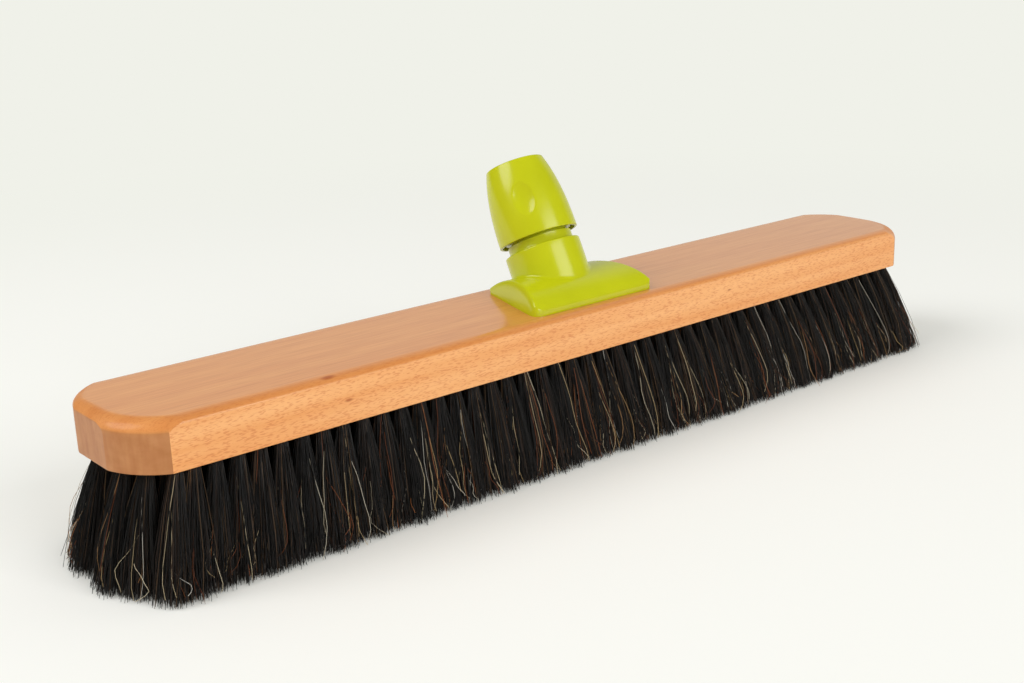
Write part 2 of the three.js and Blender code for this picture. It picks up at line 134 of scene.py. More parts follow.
def shapeObject(name, shape):  # from a bmesh in metres, faces turned outwards
    bmesh.ops.recalc_face_normals(shape, faces=shape.faces)
    mesh = bpy.data.meshes.new(name)
    shape.to_mesh(mesh)
    shape.free()
    return addObject(name, mesh)


def ringFaces(columns, rows, spans):  # quads between columns of points, round to the first column
    faces = []
    for column in range(columns):
        a, b = column * rows, (column + 1) % columns * rows
        for row in range(spans):
            up = (row + 1) % rows
            faces.append((a + row, b + row, b + up, a + up))
    return faces


def closeUp(piece):  # merges doubles and turns every face outwards
    shape = bmesh.new()
    shape.from_mesh(piece.data)
    bmesh.ops.remove_doubles(shape, verts=shape.verts, dist=1e-7)
    bmesh.ops.recalc_face_normals(shape, faces=shape.faces)
    shape.to_mesh(piece.data)
    shape.free()


def smooth(piece, sharpDegrees):
    piece.data.shade_smooth()
    piece.data.set_sharp_from_angle(angle=math.radians(sharpDegrees))


def handOver(piece, material, body, slot, *nodes):  # material and frame calls of a finished piece
    piece.data.materials.clear()
    piece.data.materials.append(material)
    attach(piece, body)
    if nodes:
        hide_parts(*nodes)
    print("piece", piece.name, "on", body, "with", len(piece.data.polygons), "faces")


# Camera, at the photograph's place

cameraSetup = {
    "place": (-448.7, -508.4, 248.5),  # mm
    "yaw": 39.36,  # degrees to the right of +Y
    "pitch": 16.55,  # degrees down
    "roll": -1.94,
    "lens": 48.82,  # mm on a 36 mm sensor
    "clipStart": 0.01,  # m
}


def placeCamera():
    yaw, pitch, roll = (math.radians(cameraSetup[key]) for key in ("yaw", "pitch", "roll"))
    data = bpy.data.cameras.new("camera")
    data.lens = cameraSetup["lens"]
    data.clip_start = cameraSetup["clipStart"]
    scene.camera = addObject("camera", data)
    turned = Matrix.Rotation(-yaw, 4, "Z") @ Matrix.Rotation(math.pi / 2 - pitch, 4, "X")
    turned = turned @ Matrix.Rotation(roll, 4, "Z")
    scene.camera.matrix_world = Matrix.Translation(Vector(cameraSetup["place"]) * mm) @ turned


placeCamera()


# Studio: pale paper sweep in a dark room, a large soft box low in front and a round one behind to the left

studio = {
    "paper": "#F6F6EF",  # light thrown back by the paper all round
    "paperLit": "#FBFBF9",  # floor by the object
    "paperBack": "#F0F1E9",  # and away from it
    "paperNear": 0.3,  # m, floor that keeps the shadow
    "paperFar": 0.95,  # from here on it has its plain colour
    "paperGlow": 0.12,  # share of plain paper colour in the floor near the object
    "paperHalf": 30.0,  # m
    "room": 0.6,  # light from all round
    "roomShine": 0.02,  # what shiny surfaces see of the room
    "sweepShine": 0.65,  # and of the paper that rises behind the object
    "sweepDirection": (0.77, 0.64, 0.0),
    "sweepEdge": (0.55, 0.85),  # cosine off that direction where this paper begins, and where it is in full
    "aimHeight": 0.08,  # m, what the lamps point at
}

lamps = [  # name, shape, azimuth and elevation in degrees, distance m, width m, height m, watts
    ("frontBox", "RECTANGLE", -83, 28, 3.0, 2.1, 1.3, 34),
    ("frontFill", "RECTANGLE", -83, 11, 3.0, 2.2, 1.0, 6),
    ("leftRound", "DISK", 157, 42, 3.0, 2.0, 2.0, 38),
]


def hangLamps():
    for name, outline, azimuth, elevation, distance, width, height, watts in lamps:
        data = bpy.data.lights.new(name, "AREA")
        data.shape = outline
        data.size = width
        data.size_y = height
        data.energy = watts
        lamp = addObject(name, data)
        rise = math.radians(elevation)
        towards = onRing(math.cos(rise), math.radians(azimuth), math.sin(rise))
        lamp.location = towards * distance + Vector((0, 0, studio["aimHeight"]))
        lamp.rotation_euler = towards.to_track_quat("Z", "Y").to_euler()


def lightWorld():
    world = bpy.data.worlds.new("studio")
    world.use_nodes = True
    scene.world = world
    world.node_tree.nodes.clear()
    add = partial(addNode, world.node_tree)
    path = add("ShaderNodeLightPath").outputs
    place = add("ShaderNodeTexCoord").outputs["Generated"]
    behind = add(vectorNode, [place, studio["sweepDirection"]], operation="DOT_PRODUCT")
    outer, full = studio["sweepEdge"]
    sweep = add("ShaderNodeMapRange", {"Value": behind, "From Min": outer, "From Max": full,
                "To Min": studio["roomShine"], "To Max": studio["sweepShine"]},
                interpolation_type="SMOOTHSTEP")
    shiny = add(mathNode, [path["Is Glossy Ray"], path["Is Transmission Ray"]], operation="MAXIMUM")
    level = add(mixNode, {"Factor": shiny, 2: studio["room"], 3: sweep})
    seen = add(mixNode, {"Factor": path["Is Camera Ray"], 2: level, 3: 1.0})
    sky = add("ShaderNodeBackground", {"Color": linear(studio["paper"]), "Strength": seen})
    add("ShaderNodeOutputWorld", {"Surface": sky})


def paperFloor():  # matt paper that fades into plain paper colour away from the object
    half = studio["paperHalf"] / mm
    floor = meshObject("floor", [(-half, -half, 0), (half, -half, 0), (half, half, 0), (-half, half, 0)],
                       [(0, 1, 2, 3)])
    material, add = newMaterial("paper")
    place = add("ShaderNodeTexCoord").outputs["Object"]
    away = add(vectorNode, [place], operation="LENGTH")
    fade = add("ShaderNodeMapRange", {"Value": away, "From Min": studio["paperNear"],
               "From Max": studio["paperFar"], "To Min": studio["paperGlow"]},
               interpolation_type="SMOOTHSTEP")
    path = add("ShaderNodeLightPath").outputs
    seen = path["Is Camera Ray"]
    for ray in ("Is Glossy Ray", "Is Transmission Ray"):
        seen = add(mathNode, [seen, path[ray]], operation="MAXIMUM")
    share = add(mathNode, [seen, fade], operation="MULTIPLY")
    matt = add("ShaderNodeBsdfDiffuse", {"Color": linear(studio["paperLit"])})
    plain = add("ShaderNodeEmission", {"Color": linear(studio["paperBack"])})
    paper = add("ShaderNodeMixShader", [share, matt, plain])
    below = add("ShaderNodeNewGeometry").outputs["Backfacing"]  # from below the floor is clear
    below = add(mathNode, [below, path["Is Camera Ray"]], operation="MULTIPLY")
    clear = add("ShaderNodeBsdfTransparent")
    paper = add("ShaderNodeMixShader", [below, paper, clear])
    add("ShaderNodeOutputMaterial", {"Surface": paper})
    floor.data.materials.append(material)


hangLamps()
lightWorld()
paperFloor()
print("studio ready:", len(lamps), "lamps")


# Materials

beechLook = {
    "cuts": {  # dark and pale tone, marks and their strength, on each cut of the wood
        "top": ("#E2924A", "#EA9E54", "poreLines", 0.35),
        "side": ("#E79E5F", "#F2B377", "rayDashes", 0.34),
        "end": ("#B37645", "#C08453", "endStreaks", 0.4),
        # the rounded upper edge: a darker, more orange tone that is painted shade
        "shadedBand": ("#D58646", "#E09654", "rayDashes", 0.2),
    },
    "marks": {  # mm along, across and up, noise detail and stops
        "poreLines": ((26, 0.8, 0.8), 2.0, (0.36, "#D9C3B2"), (0.58, "#FFFFFF")),  # pores cut lengthwise
        "rayDashes": ((2.6, 0.52, 0.52), 1.0, (0.35, "#CA763A"), (0.48, "#FFFFFF")),  # rays cut across
        "endStreaks": ((5, 5, 22), 2.0, (0.35, "#E2C9B4"), (0.6, "#FFFFFF")),
        "finePores": ((14, 0.5, 0.5), 2.0, (0.3, "#000000"), (0.7, "#FFFFFF")),  # relief only
    },
    "growthBands": ((160, 7, 7), 4.0),  # slow changes of tone
    "growthStops": (0.32, 0.68),
    "noiseRoughness": 0.55,
    "pinKnots": [  # centre and size, mm
        ((-150.7, -35.5, 60.4), 1.3), ((-158.5, -32.6, 71.5), 2.2), ((88.0, -35.5, 63.0), 0.9)],
    "knotColour": "#A0461A",
    "knotStretch": (0.45, 1.0, 1.2),  # longer along the grain
    "knotCore": 0.2,  # share of a knot that is dark all over
    "knotStrength": 0.7,
}


def steamedBeech():  # sanded and lacquered: tan, short dark dashes on the sides, glossy clear coat, painted shade on the rounded upper edge
    material, add = newMaterial("steamed_beech_lacquered")
    place = add("ShaderNodeTexCoord").outputs["Object"]
    cut = add("ShaderNodeAttribute", attribute_name="cut").outputs["Vector"]
    side, end, shadedBand = add("ShaderNodeSeparateXYZ", [cut]).outputs
    woodGrain = partial(grain, add, roughness=beechLook["noiseRoughness"])
    marks = {name: woodGrain(*values) for name, values in beechLook["marks"].items()}
    grounds = {}
    for name, (dark, pale, mark, strength) in beechLook["cuts"].items():
        tone = woodGrain(*beechLook["growthBands"], *zip(beechLook["growthStops"], (dark, pale)))
        grounds[name] = add(mixNode, {"Factor": strength, 6: tone, 7: marks[mark]}, data_type="RGBA",
                            blend_type="MULTIPLY")
    wood = grounds["top"]
    # the last tone laid on is the painted shade of the rounded upper edge
    for factor, name in ((side, "side"), (end, "end"), (shadedBand, "shadedBand")):
        wood = add(mixNode, {"Factor": factor, 6: wood, 7: grounds[name]}, data_type="RGBA")
    for centre, size in beechLook["pinKnots"]:
        gap = add(vectorNode, [place, Vector(centre) * mm], operation="SUBTRACT")
        gap = add(vectorNode, [gap, beechLook["knotStretch"]], operation="MULTIPLY")
        gap = add(vectorNode, [gap], operation="LENGTH")
        spot = add("ShaderNodeMapRange", {"Value": gap, "From Min": beechLook["knotCore"] * size * mm,
                   "From Max": size * mm, "To Min": beechLook["knotStrength"], "To Max": 0.0},
                   interpolation_type="SMOOTHSTEP")
        wood = add(mixNode, {"Factor": spot, 6: wood, 7: linear(beechLook["knotColour"])}, data_type="RGBA")
    relief = add("ShaderNodeBump", {"Height": marks["finePores"], "Strength": 0.04, "Distance": 0.2 * mm})
    lacquer = add("ShaderNodeAttribute", attribute_name="gloss").outputs["Fac"]  # thin where sanded
    finishMaterial(add, {"Base Color": wood, "Normal": relief, "Roughness": 0.5, "Specular IOR Level": 0.2,
                   "Coat Weight": lacquer, "Coat Roughness": 0.15, "Coat IOR": 1.5})
    return material


def limePlastic():  # moulded polypropylene: even lime green with a satin gloss
    material, add = newMaterial("moulded_polypropylene_lime")
    tint = grain(add, (25, 25, 25), 2.0, (0.3, "#BDC110"), (0.7, "#C4C813"))
    place = add("ShaderNodeTexCoord").outputs["Object"]
    skin = add("ShaderNodeTexNoise", {"Vector": place, "Scale": 1 / (0.5 * mm), "Detail": 2.0})
    relief = add("ShaderNodeBump", {"Height": skin, "Strength": 0.05, "Distance": 0.1 * mm})
    finishMaterial(add, {"Base Color": tint, "Normal": relief, "Roughness": 0.21, "IOR": 1.49})
    return material


def horsehair(name, *stops):  # dressed hair: near black with a soft grey sheen, tint drawn per hair
    material, add = newMaterial(name)
    tint = add("ShaderNodeAttribute", attribute_name="hairTint").outputs["Fac"]
    ramp = setStops(add("ShaderNodeValToRGB", {"Fac": tint}), *stops)
    finishMaterial(add, {"Base Color": ramp, "Roughness": 0.5, "IOR": 1.5})
    return material


def zincSteel():  # cold-headed screw steel, bright zinc plated: cool grey with fine spangle
    material, add = newMaterial("zinc_plated_steel")
    spangle = grain(add, (1.2, 1.2, 1.2), 3.0, (0.3, "#AEB0B4"), (0.7, "#CBCDD0"))
    finishMaterial(add, {"Base Color": spangle, "Metallic": 1.0, "Roughness": 0.3})
    return material


beech = steamedBeech()
lime = limePlastic()
darkHair = horsehair("horsehair_black", (0.0, "#070605"), (0.55, "#100D0A"), (0.8, "#1C140E"),
                     (0.93, "#3C2514"), (1.0, "#705534"))
strayHair = horsehair("horsehair_mixed", (0.0, "#6A3212"), (0.3, "#9A5526"), (0.5, "#BFA06C"),
                      (0.75, "#D2C4A4"), (1.0, "#C2BEB6"))
zinc = zincSteel()
print("materials ready")


# Tuft layout, shared by the drilled block and the bristles

tufts = {
    "rows": 7,
    "columns": 48,
    "halfLength": 241.0,  # mm, outermost hole centres
    "halfWidth": 29.0,
    "flareAlong": 12.0,  # how far the end tufts lean out at their tips
    "flareAcross": 12.0,
    "endMargin": 6.9,  # holes whose centre lies nearer to the block's end are left out
    "endInset": 10.0,  # and the last ones are moved in this far
    "holeRadius": 2.9,
    "holeDepth": 7.0,
    "holeSteps": 10,
}

block = {
    "length": 500.0,  # mm
    "width": 71.0,
    "bottom": 50.0,
    "top": 72.0,
    "cornerRun": 17.4,
    "cornerDrop": 22.3,
    "cornerBulge": 3.0,
    "sideRound": (6.5, 2.5),  # sanded upper edge: inwards and down
    "cornerRound": (7.8, 6.4),
    "backCornerRound": (5.0, 3.0),
    "backFrom": (-12, 12),  # y over which the corners change from front to back
    "endRound": (6.2, 3.8),
    "roundSteps": 22,
    "bottomRound": 0.6,
    "bottomSteps": 3,
    "arcSteps": 18,
    "flatHem": 0.6,  # narrow rings that keep the flat faces flat under smooth shading
    "besideCorner": (  # points on the sides, from the corner on
        0.3, 0.6, 1.0, 1.5, 2.0, 2.6, 3.3, 4.2, 5.5, 7.5, 10.0, 14.0, 20.0),
    "endPoints": 9,  # how many of them are on the short end
    "sharpAngle": 6.0,
}

sanding = {  # how the sanded edge shows, by its slope: its side tone, a band of painted shade and lost lacquer
    "shadedBandSlope": (0.03, 0.25),
    "wallSlope": (0.5, 4.0),
    "wallSlopeRight": (0.15, 1.0),
    "rightFrom": (-120, 200),  # x over which the band of painted shade on the long sides fades to the right
    "rightFade": 0.4,
    "wornWall": 0.75,  # lacquer lost on the walls and ends
    "wornBand": 0.4,  # and on the painted shade band of the long sides
    "glossSlope": (0.8, 2.0),  # where that ends again, towards its lower edge
}


def cornerCircle():  # where the sawn corner at +X +Y starts, its centre and its radius
    start = Vector((block["length"] / 2, block["width"] / 2 - block["cornerDrop"]))
    finish = Vector((block["length"] / 2 - block["cornerRun"], block["width"] / 2))
    chord = (finish - start).length
    radius = chord ** 2 / (8 * block["cornerBulge"]) + block["cornerBulge"] / 2
    outward = Vector((block["cornerDrop"], block["cornerRun"])).normalized()
    centre = (start + finish) / 2 + outward * (block["cornerBulge"] - radius)
    return start, centre, radius


def tuftRoots():  # x, y and row of every tuft, mm
    start, centre, radius = cornerCircle()
    pitch = 2 * tufts["halfLength"] / tufts["columns"]
    rowPitch = 2 * tufts["halfWidth"] / (tufts["rows"] - 1)
    found = []
    for row in range(tufts["rows"]):
        y = row * rowPitch - tufts["halfWidth"]
        reach = abs(y) + tufts["holeRadius"]
        edge = start.x
        if reach > start.y:
            edge = centre.x + math.sqrt(radius ** 2 - (reach - centre.y) ** 2)
        shift = 0.5 * (row % 2)
        for column in range(tufts["columns"] + 1):
            x = (column + shift) * pitch - tufts["halfLength"]
            if column + shift <= tufts["columns"] and abs(x) <= edge - tufts["endMargin"]:
                found.append((math.copysign(min(abs(x), edge - tufts["endInset"]), x), y, row))
    return found


roots = tuftRoots()
print("tufts:", len(roots))


# Beech block, drilled from below

def drillFace(shape, rim, circles, depth, inward):  # fills a face, leaving round blind holes in it
    loops = [[shape.verts.new(p) for p in circle] for circle in circles]
    edges = []
    for loop in [rim] + loops:
        for a, b in zip(loop, loop[1:] + loop[:1]):
            edges.append(shape.edges.get((a, b)) or shape.edges.new((a, b)))
    bmesh.ops.triangle_fill(shape, use_beauty=True, use_dissolve=False, edges=edges, normal=-inward)
    for loop in loops:
        deep = [shape.verts.new(v.co + inward * depth) for v in loop]
        for i in range(len(loop)):
            j = (i + 1) % len(loop)
            shape.faces.new((loop[i], loop[j], deep[j], deep[i]))
        shape.faces.new(deep)


def blockOutline(inset):  # plan points and kinds inside the edge by the inset, anticlockwise from the +X end
    start, centre, radius = cornerCircle()
    r = radius - inset
    endX, sideY = block["length"] / 2 - inset, block["width"] / 2 - inset
    first = math.degrees(math.acos((endX - centre.x) / r))
    last = math.degrees(math.asin((sideY - centre.y) / r))
    corner = arc(*centre, r, first, last, block["arcSteps"])
    near = block["besideCorner"]
    quarter = [(endX, corner[0][1] - step, "end") for step in near[:block["endPoints"]][::-1]]
    quarter += [(x, y, "arc") for x, y in corner]
    quarter += [(corner[-1][0] - step, sideY, "side") for step in near]
    points = []
    for x, y in ((1, 1), (-1, 1), (-1, -1), (1, -1)):
        points += [(x * px, y * py, kind) for px, py, kind in (quarter if x * y > 0 else quarter[::-1])]
    return points


def upperFace(x, y):  # height and slope of the upper face, by the sanded edge that cuts deepest there
    start, centre, radius = cornerCircle()
    across = math.hypot(max(abs(x) - centre.x, 0), max(abs(y) - centre.y, 0))
    back = easeStep(*block["backFrom"], y)  # the corners behind are sanded less
    cornerRound = Vector(block["cornerRound"]).lerp(block["backCornerRound"], back)
    height, slope = block["top"], 0.0
    for gap, (inwards, down) in ((block["width"] / 2 - abs(y), block["sideRound"]),
                                 (block["length"] / 2 - abs(x), block["endRound"]),
                                 (radius - across, cornerRound)):
        t = clamp(1 - gap / inwards)
        level = block["top"] - down * (1 - math.sqrt(1 - t * t))
        if level < height:
            height, slope = level, down / inwards * t / math.sqrt(max(1 - t * t, 1e-6))
    return height, slope


def blockRings():  # inset, and height at every point of the outline; then how many rings the walls have
    low, hem = block["bottomRound"], block["flatHem"]
    reach = max(block[key][0] for key in ("sideRound", "cornerRound", "endRound"))
    rims = [upperFace(x, y)[0] for x, y, kind in blockOutline(0)]
    rings = []
    for inset, height in arc(low, block["bottom"] + low, low, -90, -180, block["bottomSteps"]):
        rings.append((inset, [height] * len(rims)))
    rings.append((0, [block["bottom"] + low + hem] * len(rims)))
    rings.append((0, [rim - hem for rim in rims]))
    walls = len(rings)
    for a in np.linspace(0, math.pi / 2, block["roundSteps"] + 1):
        inset = reach * (1 - math.cos(a))
        rings.append((inset, [upperFace(x, y)[0] for x, y, kind in blockOutline(inset)]))
    rings.append((reach + hem, [block["top"]] * len(rims)))
    return rings, walls


def edgeShadeAndWear(x, y, long):  # share of wall tone and of the painted shade band, and lacquer lost, on the rounded edge
    slope = upperFace(x, y)[1]
    right = easeStep(*sanding["rightFrom"], x) if long else 0.0
    low, high = (a + (b - a) * right for a, b in zip(sanding["wallSlope"], sanding["wallSlopeRight"]))
    wall = easeStep(low, high, slope)
    # share of painted shade on the flatter upper part of the rounding
    shadedBand = (easeStep(*sanding["shadedBandSlope"], slope) - wall) * (1 - sanding["rightFade"] * right)
    worn = sanding["wornWall"]
    if long:
        worn = sanding["wornBand"] * (1 - easeStep(*sanding["glossSlope"], slope))
    return wall, shadedBand, worn


def beechBlock():
    shape = bmesh.new()
    cut = shape.loops.layers.float_vector.new("cut")  # share of long side, end grain and painted shade band
    gloss = shape.loops.layers.float.new("gloss")
    kinds = [kind for x, y, kind in blockOutline(0)]
    rings, walls = blockRings()
    grid = []
    for inset, heights in rings:
        grid.append([shape.verts.new((x * mm, y * mm, z * mm))
                     for (x, y, kind), z in zip(blockOutline(inset), heights)])
    for row in range(len(grid) - 1):
        for i in range(len(kinds)):
            j = (i + 1) % len(kinds)
            face = shape.faces.new((grid[row][i], grid[row][j], grid[row + 1][j], grid[row + 1][i]))
            long = "side" in (kinds[i], kinds[j])
            for loop in face.loops:
                wall, shadedBand, worn = 1.0, 0.0, sanding["wornWall"]
                if row >= walls:
                    wall, shadedBand, worn = edgeShadeAndWear(loop.vert.co.x / mm, loop.vert.co.y / mm, long)
                loop[cut] = (wall, 0, shadedBand) if long else (0, wall, shadedBand)
                loop[gloss] = 1 - worn * (wall + shadedBand)
    for loop in shape.faces.new(grid[-1]).loops:
        loop[gloss] = 1
    steps = np.linspace(0, fullTurn, tufts["holeSteps"], endpoint=False)
    circles = [[((x + tufts["holeRadius"] * math.cos(a)) * mm, (y + tufts["holeRadius"] * math.sin(a)) * mm,
                 block["bottom"] * mm) for a in steps] for x, y, row in roots]
    drillFace(shape, grid[0], circles, tufts["holeDepth"] * mm, Vector((0, 0, 1)))
    piece = shapeObject("beech_body", shape)
    smooth(piece, block["sharpAngle"])
    handOver(piece, beech, "head", "beech", "beech_block")


beechBlock()


# Handle holder: foot plate, leaning stub, threaded neck and socket, skinned in lines from rim to floor

holder = {
    "lean": 26.7,  # degrees
    "footOffset": 1.4,  # mm from here on; heights along the leaning axis from the block's top
    "front": -28.04,
    "back": 27.64,
    "halfFront": 40.2,
    "halfBack": 24.6,
    "cornerRadius": 7.0,
    "crownHeight": 11.7,
    "crownForward": 5.0,
    "frontWall": 2.6,
    "edgeWall": 1.0,
    "endSteepness": 5.0,
    "endBlend": 5.5,
    "frontFullness": 2.1,
    "frontSharpness": 1.4,
    "filletReach": 1.4,
    "filletShare": 0.6,
    "stubRadius": 19.51,
    "stubTop": 23.6,
    "rimRound": 0.8,
    "waistProfile": [  # radius and height from the stub's top: waist, groove where the thread runs out, neck
        (17.2, 23.6), (16.8, 23.75), (16.6, 24.2), (16.6, 28.0), (16.6, 28.2), (16.4, 28.3),
        (14.7, 28.4), (14.7, 29.7), (17.01, 29.9)],
    "socketProfile": [  # above the thread: the neck's edge and mouth, the sleeve's seat, bore and floor
        (16.21, 37.7), (15.91, 38.0), (15.11, 38.0), (14.81, 37.7), (13.55, 27.5), (12.3, 27.5),
        (12.3, 19.0), (12.3, 10.5)],
    "sitGap": 0.02,
    "sideSteps": 44,
    "cornerSteps": 8,
    "crownSteps": 29,
    "filletSteps": 11,
    "stubSteps": 5,
    "rimSteps": 6,
    "sharpAngle": 50,
}

thread = {
    "lead": 6.0,  # mm a turn
    "starts": 2,
    "depth": 0.8,
    "crestEdge": (0.12, 0.38),  # flank of a ridge, in shares of the pitch
    "neckFrom": 30.2,  # along the leaning axis
    "neckTo": 37.0,
    "fade": 1.2,
    "rowStep": 0.3,
}

screws = {
    "spacing": 12.4,  # mm
    "length": 20.0,
    "shank": 4.0,
    "head": 8.0,
    "rim": 0.4,
    "cone": 2.2,
    "point": 5.0,
    "sink": 0.3,
    "threadStep": 1.8,
    "threadRows": 6,  # a turn
    "threadCut": 0.28,  # share of the radius
    "plainEnds": 0.4,  # under the head and at the point
    "crossLength": 4.4,
    "crossWidth": 1.0,
    "crossDepth": 1.6,
    "steps": 40,
    "sharpAngle": 35,
    "seatGap": 0.25,  # round the head, in the socket's floor
    "seatDepth": 3.2,
    "seatSteps": 24,
}

lean = math.radians(holder["lean"])
socketFrame = Matrix.Translation((0, holder["footOffset"], block["top"])) @ Matrix.Rotation(-lean, 4, "X")
socketFloor = holder["socketProfile"][-1][1]


def threadCut(turn, along):  # 0 on the crest, 1 in the root of a right-hand thread
    phase = (along / thread["lead"] - turn / fullTurn) * thread["starts"] % 1.0
    low, high = thread["crestEdge"]
    return easeStep(low, high, phase) * (1 - easeStep(1 - high, 1 - low, phase))


def plateHeight(x, y):  # crown above the block, steep in front and gentle behind, rounded to the ends
    top, wall = holder["crownHeight"], holder["edgeWall"]
    crest = -holder["crownForward"]
    ahead = clamp((crest - y) / (crest - holder["front"]))
    behind = clamp((y - crest) / (holder["back"] - crest))
    rise = (1 - ahead ** holder["frontFullness"]) ** (1 / holder["frontSharpness"])
    crown = holder["frontWall"] + (top - holder["frontWall"]) * rise
    if ahead == 0:
        crown = top - (top - wall) * behind ** 2
    taper = (holder["halfFront"] - holder["halfBack"]) / (holder["back"] - holder["front"])
    inside = (holder["halfFront"] - taper * (y - holder["front"]) - abs(x)) / math.hypot(1, taper)
    end = wall + holder["endSteepness"] * max(inside, 0.0)
    blend = max(holder["endBlend"] - abs(crown - end), 0.0) / holder["endBlend"]
    return max(min(crown, end) - blend * blend * holder["endBlend"] / 4, wall)


def plateRim():  # plan points round the plate, anticlockwise
    halfFront, halfBack = holder["halfFront"], holder["halfBack"]
    corners = [Vector((halfFront, holder["front"])), Vector((halfBack, holder["back"])),
               Vector((-halfBack, holder["back"])), Vector((-halfFront, holder["front"]))]
    rim = []
    for i, corner in enumerate(corners):
        before, after = corners[i - 1], corners[(i + 1) % 4]
        arrive = corner + (before - corner).normalized() * holder["cornerRadius"]
        leave = corner + (after - corner).normalized() * holder["cornerRadius"]
        nextArrive = after + (corner - after).normalized() * holder["cornerRadius"]
        for t in np.linspace(0, 1, holder["cornerSteps"] + 1):
            rim.append(bend(arrive, corner, leave, t))
        for t in np.linspace(0, 1, holder["sideSteps"] + 1)[1:-1]:
            rim.append(leave.lerp(nextArrive, t))
    return rim


def holderLine(rimPoint):  # one line of the skin, from the plate's underside to the socket's floor
    turn = math.atan2((rimPoint.y - holder["footOffset"]) * math.cos(lean), rimPoint.x)
    stub, rimRound = holder["stubRadius"], holder["rimRound"]

    def onAxis(radius, along):
        return socketFrame @ onRing(radius, turn, along)

    def onCrown(plan):
        return Vector((plan.x, plan.y, block["top"] + plateHeight(plan.x, plan.y)))

    low, high = -stub, holder["stubTop"]
    for i in range(40):  # halves its way to where the stub comes out of the crown
        middle = (low + high) / 2
        at = onAxis(stub, middle)
        if at.z > onCrown(at.xy).z:
            high = middle
        else:
            low = middle
    meet = onAxis(stub, high)
    share = min(holder["filletReach"] / (meet.xy - rimPoint).length, holder["filletShare"])
    foot = meet.xy.lerp(rimPoint, share)
    rimBase = holder["stubTop"] - rimRound
    headAlong = min(high + holder["filletReach"], rimBase - rimRound)
    head = onAxis(stub, headAlong)
    line = [Vector((rimPoint.x, rimPoint.y, block["top"] + holder["sitGap"]))]
    for t in np.linspace(0, 1, holder["crownSteps"] + 1)[:-1] ** 2:
        line.append(onCrown(rimPoint.lerp(foot, t)))
    for t in np.linspace(0, 1, holder["filletSteps"] + 1):
        line.append(bend(onCrown(foot), meet, head, t))
    for t in np.linspace(0, 1, holder["stubSteps"] + 1)[1:]:
        line.append(onAxis(stub, headAlong + (rimBase - headAlong) * t))
    profile = arc(stub - rimRound, rimBase, rimRound, 0, 90, holder["rimSteps"])[1:] + holder["waistProfile"]
    neck = profile[-1][0]
    for along in np.arange(thread["neckFrom"], thread["neckTo"], thread["rowStep"]):
        fade = easeStep(thread["neckFrom"], thread["neckFrom"] + thread["fade"], along)
        profile.append((neck - thread["depth"] * fade * threadCut(turn, along), along))
    return line + [onAxis(radius, along) for radius, along in profile + holder["socketProfile"]]


def handleHolder():
    lines = [holderLine(point) for point in plateRim()]
    shape = bmesh.new()
    grid = [[shape.verts.new(p * mm) for p in line] for line in lines]
    for here, after in zip(grid, grid[1:] + grid[:1]):
        for row in range(len(here) - 1):
            shape.faces.new((here[row], after[row], after[row + 1], here[row + 1]))
    shape.faces.new([line[0] for line in grid])
    steps = np.linspace(0, fullTurn, screws["seatSteps"], endpoint=False)
    radius = screws["head"] / 2 + screws["seatGap"]
    circles = []
    for side in (-1, 1):
        centre = Vector((side * screws["spacing"] / 2, 0, socketFloor))
        circles.append([socketFrame @ (centre + onRing(radius, a, 0)) * mm for a in steps])
    down = socketFrame.to_3x3() @ Vector((0, 0, -1))
    drillFace(shape, [line[-1] for line in grid], circles, screws["seatDepth"] * mm, down)
    piece = shapeObject("holder_moulding", shape)
    smooth(piece, holder["sharpAngle"])
    handOver(piece, lime, "head", "lime_plastic", "handle_holder")


handleHolder()


# Clamp collar: barrel with thumb recesses outside, thread, snap ridge and cone inside

collar = {
    "base": 29.1,  # mm along the leaning axis
    "length": 39.4,
    "baseRadius": 20.41,
    "topRadius": 15.15,
    "barrelFall": 0.1,  # what its curve leans towards: in from the base radius, and how high
    "barrelHeight": 24.0,
    "edge": 0.8,
    "topEdgeFrom": 24,  # degrees, where the barrel runs into its upper edge
    "baseEdge": 0.35,
    "edgeSteps": 5,
    "skirtRadius": 19.11,
    "skirtDepth": 2.4,
    "insideProfile": [  # downwards: mouth, cone, room for the sleeve, snap ridge and the thread's bore
        (13.0, 36.4), (14.0, 36.4), (15.9, 19.3), (15.9, 16.2), (14.9, 16.2), (14.9, 14.2), (17.31, 14.2)],
    "threadFrom": 3.4,  # above the base
    "threadTo": 13.4,
    "threadOut": 1.0,  # where it runs out at its inner end
    "mouthRound": 0.6,
    "mouthSteps": 4,
    "columns": 320,
    "barrelRows": 88,
    "sharpAngle": 45,
}

recess = {
    "count": 2,
    "length": 19.0,  # mm
    "width": 10.6,
    "depth": 1.8,
    "height": 19.0,  # centre above the collar's base
    "round": 6.0,
    "turn": -132.5,  # degrees
    "rimSoft": 0.12,  # rounding of its rim
    "rimReach": 1.0,  # how far outside the hollow that is still felt
    "sideCosine": 0.8,  # the hollow's side of the collar
}

collarFrame = socketFrame @ Matrix.Translation((0, 0, collar["base"]))


def barrelPoint(t):  # radius and height on the outer curve
    edge = collar["edge"]
    low = Vector((collar["baseRadius"], edge))
    middle = Vector((collar["baseRadius"] - collar["barrelFall"], collar["barrelHeight"]))
    return bend(low, middle, Vector((collar["topRadius"], collar["length"] - edge)), t)


